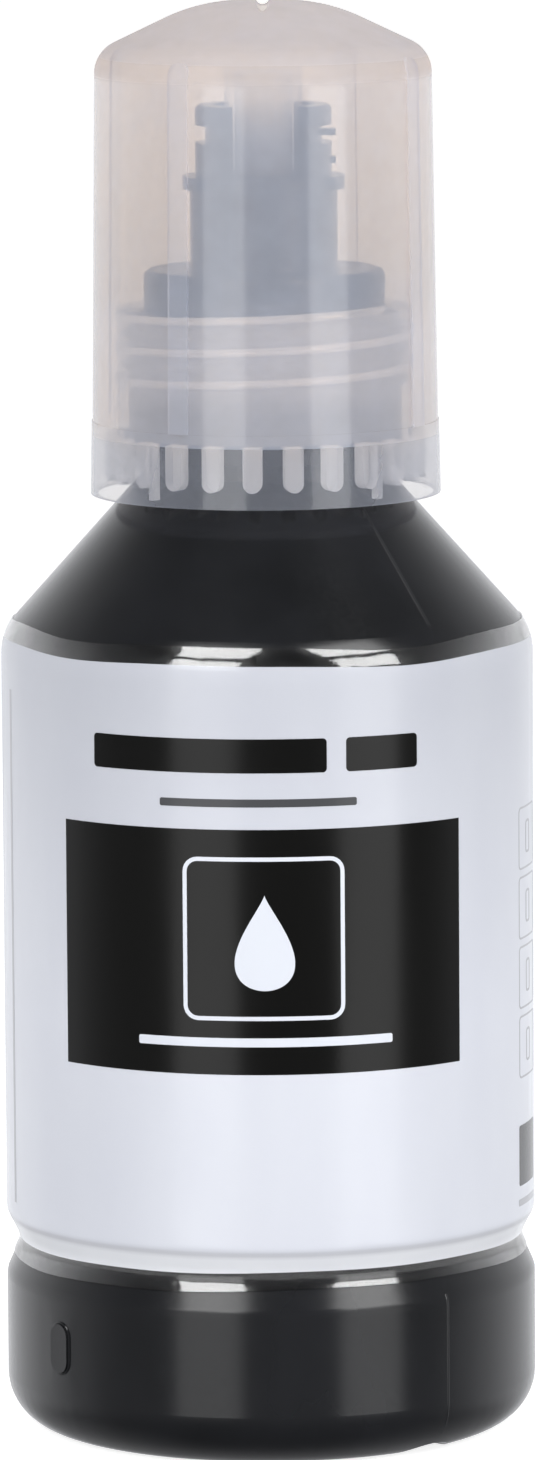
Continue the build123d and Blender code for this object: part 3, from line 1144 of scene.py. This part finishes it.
    def thicken(self, bm: BMesh, slab: float) -> None:
        """Gives a flat shape the thickness of a layer of ink.

        Args:
            bm: flat shape in millimetres.
            slab: the thickness.
        """
        fresh = bmesh.ops.extrude_face_region(bm, geom=bm.faces[:])["geom"]
        moved = [part for part in fresh if isinstance(part, BMVert)]
        bmesh.ops.translate(bm, verts=moved, vec=(0, -slab, 0))
        bmesh.ops.recalc_face_normals(bm, faces=bm.faces)

    def printed(self, field: PrintField, layer: int) -> Object:
        """Makes one field of print.

        Args:
            field: the field.
            layer: how many layers of print lie under it.

        Returns:
            The piece.
        """
        bm = bmesh.new()
        bmesh.ops.create_grid(bm, x_segments=1, y_segments=1, size=0.5)
        bmesh.ops.rotate(bm, verts=bm.verts, cent=(0, 0, 0), matrix=Matrix.Rotation(pi / 2, 3, "X"))
        bmesh.ops.scale(bm, verts=bm.verts, vec=(field.width, 1, field.tall))
        if field.rounding:
            bmesh.ops.bevel(
                bm,
                geom=bm.verts[:],
                offset=field.rounding,
                affect="VERTICES",
                segments=self.corner_steps,
                profile=0.5,
                material=-1,
            )
        if field.line:
            bmesh.ops.inset_region(
                bm, faces=bm.faces[:], thickness=field.line, use_boundary=True, use_even_offset=True
            )
            inner = max(bm.faces, key=lambda face: face.calc_area())
            bmesh.ops.delete(bm, geom=[inner], context="FACES_ONLY")
        self.cut_upright(bm, field.width / 2)
        self.thicken(bm, self.print_thickness)
        self.wrap(bm, field.azimuth, field.height, layer * self.print_thickness)
        return finish_mesh(field.name, bm, "bottle_body")

    def drop(self) -> Object:
        """A plain ink drop with a pointed top.

        Returns:
            The piece.
        """
        bm = bmesh.new()
        bmesh.ops.create_circle(bm, cap_ends=True, radius=1.0, segments=self.drop_steps)
        for vert in bm.verts:
            turn = atan2(vert.co.x, vert.co.y)
            across = self.drop_width / 2 * self.drop_fullness * sin(turn)
            across *= abs(sin(turn / 2)) ** self.drop_taper
            vert.co = Vector((across, 0, self.drop_tall / 2 * cos(turn)))
        self.cut_upright(bm, self.drop_width / 2)
        self.thicken(bm, self.print_thickness)
        self.wrap(bm, self.drop_azimuth, self.drop_height, self.print_thickness)
        return finish_mesh("print_ink_drop", bm, "bottle_body")

    def fields(self) -> list[tuple[PrintField, int]]:
        """Lists every field of print with its layer, from the heading down to the marks at the side.

        Returns:
            Each field, and how many layers of print lie under it.
        """
        black, white, grey = InkColour.BLACK, InkColour.WHITE, InkColour.GREY
        side = self.side_azimuth
        made = [
            (PrintField("print_heading_long", -13.6, 72.1, 24.6, 3.4, black, 0.4), 0),
            (PrintField("print_heading_short", 25.0, 72.1, 7.8, 3.4, black, 0.4), 0),
            (PrintField("print_subline", -2.2, 67.4, 20.0, 0.8, InkColour.DARK_GREY, 0.2), 0),
            (PrintField("print_panel", -1.85, 52.45, 43.9, 24.6, black), 0),
            (PrintField("print_square_outline", -1.1, 53.8, 16.3, 16.4, white, 1.5, 0.42), 1),
            (PrintField("print_panel_line", -0.9, 43.4, 26.2, 0.9, white, 0.2), 1),
        ]
        for index in range(self.side_count):
            height = self.side_top - self.side_pitch * index
            box = PrintField(f"print_side_box_{index + 1}", side, height, 6.4, 6.4, grey, 0.6, 0.2)
            mark = PrintField(f"print_side_mark_{index + 1}", side, height, 1.6, 3.4, grey, 0.5, 0.25)
            made += [(box, 0), (mark, 0)]
        made.append((PrintField("print_side_tile", 75.6, 28.7, 6.2, 6.2, InkColour.DARK_GREY, 0.3), 0))
        made.append((PrintField("print_side_line", 75.6, 23.9, 6.6, 0.7, grey, 0.2), 0))
        return made

    def seam(self) -> PrintField:
        """The grey line where the film's two edges were joined.

        Returns:
            The line as a field of print.
        """
        tall = self.seam_high - self.groove_end
        return PrintField(
            "film_seam",
            self.seam_azimuth,
            self.groove_end + tall / 2,
            self.seam_width,
            tall,
            InkColour.GREY,
        )

    def build(self) -> None:
        """Makes the film, its print and its seam, and inks them."""
        self.film()
        inks = {
            colour: PrintedFilm(
                f"{colour.name.lower()}_print_under_film",
                colour.value,
                self.ink_roughness,
                ior=self.ink_ior,
                shade=colour.value,
            )
            for colour in InkColour
        }
        printed: dict[InkColour, list[Object]] = {colour: [] for colour in InkColour}
        for field, layer in self.fields() + [(self.seam(), 0)]:
            printed[field.ink].append(self.printed(field, layer))
        printed[InkColour.WHITE].append(self.drop())
        for colour, pieces in printed.items():
            inks[colour].dress(*pieces)


@dataclass
class ScrewThread:
    """A helical ridge on a round wall; a negative height stands inwards, as in a cap."""

    name: str
    body: str
    slot: str
    root_radius: float
    ridge: float
    pitch: float
    turns: float
    low: float
    start_azimuth: float
    foot: float = 1.5
    crest: float = 0.5
    sunk: float = 0.15
    crest_steps: int = 4
    crest_turn: float = 40.0
    steps_per_turn: int = 96
    fade: float = 0.12
    least: float = 0.05

    def section(self, share: float) -> list[tuple[float, float]]:
        """Corners of the ridge's section, whose crest is an arc.

        Args:
            share: share of its full height.

        Returns:
            Radius and height of each corner, with the height from the ridge's middle.
        """
        side = 1 if self.ridge > 0 else -1
        root = self.root_radius - side * self.sunk
        crest = self.root_radius + self.ridge * share
        bend = self.crest / 2 / sin(radians(self.crest_turn))
        arc = []
        for step in range(self.crest_steps + 1):
            turn = radians(self.crest_turn) * (2 * step / self.crest_steps - 1)
            arc.append((crest - side * bend * (1 - cos(turn)) * share, bend * sin(turn)))
        return [(root, -self.foot / 2), *arc, (root, self.foot / 2)]

    def place(self, verts: list[BMVert], step: int) -> None:
        """Puts one section's corners along the helix, lower near its ends.

        Args:
            verts: corners of the section.
            step: its number from the start of the helix.
        """
        turned = step / self.steps_per_turn
        run_in = min(turned, self.turns - turned) / self.fade
        share = min(1.0, max(self.least, run_in))
        angle = radians(self.start_azimuth) + tau * turned
        rise = self.low + self.pitch * turned
        for vert, (radius, height) in zip(verts, self.section(share)):
            vert.co = radial_point(angle, radius * MM, (rise + height) * MM)

    def build(self) -> Object:
        """Sweeps the section along the helix and closes both ends.

        Returns:
            The piece.
        """
        bm = bmesh.new()
        verts = [bm.verts.new() for _ in self.section(1.0)]
        edges = [bm.edges.new(pair) for pair in zip(verts, verts[1:] + verts[:1])]
        count = round(self.turns * self.steps_per_turn)
        self.place(verts, 0)
        bm.faces.new(verts)
        for step in range(1, count + 1):
            swept = bmesh.ops.extrude_edge_only(bm, edges=edges)["geom"]
            edges = [part for part in swept if isinstance(part, BMEdge)]
            fresh = {vert for edge in edges for vert in edge.verts}
            followers = []
            for vert in verts:
                joined = [edge.other_vert(vert) for edge in vert.link_edges]
                followers.append(next(other for other in joined if other in fresh))
            edges = [edge for edge in edges if edge.verts[0] in fresh and edge.verts[1] in fresh]
            verts = followers
            self.place(verts, step)
        bm.faces.new(verts)
        bmesh.ops.recalc_face_normals(bm, faces=bm.faces)
        return finish_mesh(self.name, bm, self.body)


@dataclass
class Nozzle:
    """The dark nozzle and what it holds, with the thread on its collar."""

    collar_radius: float = 13.8
    ridge: float = 0.75
    pitch: float = 3.2
    turns: float = 2.3
    low: float = 105.6
    start_azimuth: float = -70.0

    def build(self) -> None:
        """Makes the collar's thread and dresses the nozzle, the gasket, the valve and its retainer."""
        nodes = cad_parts
        thread = ScrewThread(
            "nozzle_thread",
            "bottle_body",
            "nozzle_plastic",
            self.collar_radius,
            self.ridge,
            self.pitch,
            self.turns,
            self.low,
            self.start_azimuth,
        ).build()
        NOZZLE_BLACK.dress(nodes["nozzle"], nodes["valve_retainer"], thread)
        VALVE_SILICONE.dress(nodes["slit_valve"])
        GASKET_RUBBER.dress(nodes["neck_gasket"])
        LIQUID_INK.dress(nodes["ink"])


@dataclass
class ScrewCap:
    """The translucent cap: its inner thread, and its finish, which follows the middle of its wall."""

    radius: float = 17.6
    rim: float = 95.54
    top: float = 145.24
    draft: float = 0.77
    dome_fall: float = 25.5
    dome_corner: float = 6.3
    rounding: float = 3.4
    dome_rounding: float = 17.7
    wall: float = 1.25
    arc_steps: int = 4
    pole_lift: float = 0.01
    band_radius: float = 14.9
    ridge: float = -0.95
    pitch: float = 3.2
    turns: float = 2.65
    low: float = 106.3
    start_azimuth: float = -180.0
    thread_foot: float = 0.8
    thread_crest: float = 0.45
    thread_sunk: float = 0.25

    def middle(self) -> tuple[tuple[float, float], ...]:
        """Points along the middle of the wall, of which the last is a hair higher to stay in order.

        Returns:
            Height and radius of each point in millimetres, from the rim to the pole.
        """
        lean, fall = tan(radians(self.draft)), tan(radians(self.dome_fall))
        narrowing = lean * (self.top - self.rim + self.dome_corner * fall)
        corner = (self.radius - narrowing) / (1 - lean * fall)
        corners = [
            (self.radius, self.rim),
            (corner, self.top - (corner - self.dome_corner) * fall),
            (self.dome_corner, self.top),
            (0.0, self.top),
        ]
        inset = self.wall / 2
        roundings = [self.rounding - inset, self.dome_rounding - inset]
        line = rounded(outset(corners, -inset), roundings, self.arc_steps)
        line[-1].y += self.pole_lift
        return tuple((point.y, point.x) for point in line)

    def finish(self) -> TranslucentPolypropylene:
        """Natural polypropylene, which is milky where it is thick and clearer where it is thin."""
        return TranslucentPolypropylene(
            "natural_polypropylene", "#e4ecff", 0.12, ior=1.49, shell=self.middle(), wall=self.wall
        )

    def build(self) -> None:
        """Makes the cap's thread and dresses the cap."""
        thread = ScrewThread(
            "cap_thread",
            "cap",
            "cap_plastic",
            self.band_radius,
            self.ridge,
            self.pitch,
            self.turns,
            self.low,
            self.start_azimuth,
            foot=self.thread_foot,
            crest=self.thread_crest,
            sunk=self.thread_sunk,
        ).build()
        self.finish().dress(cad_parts["cap"], thread)


@dataclass(frozen=True)
class Softbox:
    """One area lamp that faces the bottle: its bearing, rise and size as seen from the bottle."""

    name: str
    azimuth: float
    elevation: float
    width: float
    tall: float
    radiance: float
    distance: float = 700.0

    def build(self, aim: Vector) -> None:
        """Makes the lamp.

        Args:
            aim: point that it faces, in metres.
        """
        reach = self.distance * MM
        lamp = bpy.data.lights.new(self.name, "AREA")
        lamp.shape = "RECTANGLE"
        lamp.size = 2 * reach * tan(radians(self.width / 2))
        lamp.size_y = 2 * reach * tan(radians(self.tall / 2))
        lamp.energy = self.radiance * pi * lamp.size * lamp.size_y
        tilt = radians(self.elevation)
        offset = radial_point(radians(self.azimuth), reach * cos(tilt), reach * sin(tilt))
        holder = bpy.data.objects.new(self.name, lamp)
        holder.location = aim + offset
        holder.rotation_euler = offset.to_track_quat("Z", "Y").to_euler()
        bpy.context.scene.collection.objects.link(holder)
        logger.info("%s lamp at %.0f degrees", self.name, self.azimuth)


@dataclass
class Studio:
    """Pale floor, soft lamps, a white background and the camera of the photograph."""

    floor_size: float = 6000.0
    aim_height: float = 71.14
    camera_distance: float = 1000.0
    camera_pitch: float = 7.6
    camera_roll: float = -0.4
    lens: float = 242.6
    sensor_width: float = 36.0
    camera_reach: float = 20000.0
    front_light: float = 0.15
    back_light: float = 1.2
    left_light: float = 0.06
    overhead: float = 0.16
    below: float = 0.4
    room_colour: str = "#f7f8fb"
    seen_colour: str = "#ffffff"
    depth_span: tuple[float, float] = (-0.42, 0.7)
    left_span: tuple[float, float] = (-1.0, -0.2)
    rise_span: tuple[float, float] = (0.1, 0.85)
    sink_span: tuple[float, float] = (-0.55, -0.22)

    def floor(self) -> None:
        """Lays the floor; reflections and shadows on the bottle ignore it."""
        bm = bmesh.new()
        bmesh.ops.create_grid(bm, x_segments=1, y_segments=1, size=self.floor_size * MM / 2)
        mesh = bpy.data.meshes.new("studio_floor")
        bm.to_mesh(mesh)
        bm.free()
        floor = bpy.data.objects.new("studio_floor", mesh)
        bpy.context.scene.collection.objects.link(floor)
        PAPER_FLOOR.dress(floor)
        floor.visible_glossy = False
        floor.visible_shadow = False

    def world(self) -> None:
        """White where the camera sees it, and otherwise brighter behind the bottle than before it.

        Each part of a direction, from -1 to 1, takes the light from one level to another over a span.
        """
        made = bpy.data.worlds.new("studio_world")
        made.use_nodes = True
        bpy.context.scene.world = made
        tree = made.node_tree
        tree.nodes.clear()
        place = add_node(tree, "ShaderNodeTexCoord").outputs["Generated"]
        parts = add_node(tree, "ShaderNodeSeparateXYZ", {0: place}).outputs
        depth, left, rise, sink = (
            add_node(
                tree,
                "ShaderNodeMapRange",
                ranging(parts[axis], span, levels),
                interpolation_type="SMOOTHSTEP",
            )
            for axis, span, levels in (
                ("Y", self.depth_span, (0.0, self.back_light - self.front_light)),
                ("X", self.left_span, (self.left_light, 0.0)),
                ("Z", self.rise_span, (1.0, self.overhead)),
                ("Z", self.sink_span, (self.below, 1.0)),
            )
        )
        upright = add_node(tree, "ShaderNodeMath", {0: rise, 1: sink}, operation="MULTIPLY")
        sides = add_node(tree, "ShaderNodeMath", {0: depth, 1: left}, operation="ADD")
        level = add_node(tree, "ShaderNodeMath", {0: sides, 1: self.front_light}, operation="ADD")
        light = add_node(tree, "ShaderNodeMath", {0: level, 1: upright}, operation="MULTIPLY")
        room = {"Color": linear(self.room_colour), "Strength": light}
        around = add_node(tree, "ShaderNodeBackground", room)
        seen = add_node(
            tree, "ShaderNodeBackground", {"Color": linear(self.seen_colour), "Strength": 1.0}
        )
        path = add_node(tree, "ShaderNodeLightPath").outputs["Is Camera Ray"]
        mixed = add_node(tree, "ShaderNodeMixShader", {0: path, 1: around, 2: seen})
        add_node(tree, "ShaderNodeOutputWorld", {"Surface": mixed})

    def camera(self) -> None:
        """Sets the camera at the photograph's angle."""
        lens = bpy.data.cameras.new("photo_camera")
        lens.sensor_width = self.sensor_width
        lens.lens = self.lens
        lens.clip_end = self.camera_reach * MM
        camera = bpy.data.objects.new("photo_camera", lens)
        pitch = radians(self.camera_pitch)
        reach = self.camera_distance * MM
        camera.location = Vector((0, -reach * cos(pitch), self.aim_height * MM + reach * sin(pitch)))
        roll = Matrix.Rotation(radians(self.camera_roll), 4, "Z")
        tilt = Matrix.Rotation(pi / 2 - pitch, 4, "X") @ roll
        camera.rotation_euler = tilt.to_euler()
        bpy.context.scene.collection.objects.link(camera)
        bpy.context.scene.camera = camera

    def build(self) -> None:
        """Makes the floor, the world, the lamps and the camera."""
        self.floor()
        self.world()
        aim = Vector((0, 0, self.aim_height * MM))
        for softbox in (
            Softbox("left_top", -27.5, 50.5, 27.0, 20.0, 5.6),
            Softbox("left_key", -27.5, 26.0, 27.0, 17.0, 5.6),
            Softbox("left_low", -27.0, -3.0, 28.0, 36.0, 1.25),
            Softbox("right_top", 46.0, 50.5, 27.0, 20.0, 5.4),
            Softbox("right_key", 46.0, 26.0, 27.0, 17.0, 5.4),
            Softbox("right_low", 43.5, -3.0, 27.0, 36.0, 1.35),
        ):
            softbox.build(aim)
        self.camera()


def main() -> None:
    """Builds the bottle's sub-assemblies in order, then the studio."""
    logging.basicConfig(level=logging.INFO, format="%(message)s")
    bpy.context.scene.view_settings.view_transform = "Standard"
    bottle = BlownBottle()
    assemblies = (bottle, ShrinkLabel(bottle), Nozzle(), ScrewCap(), Studio())
    for assembly in assemblies:
        assembly.build()
        logger.info("%s ready", type(assembly).__name__)


if __name__ == "__main__":
    main()
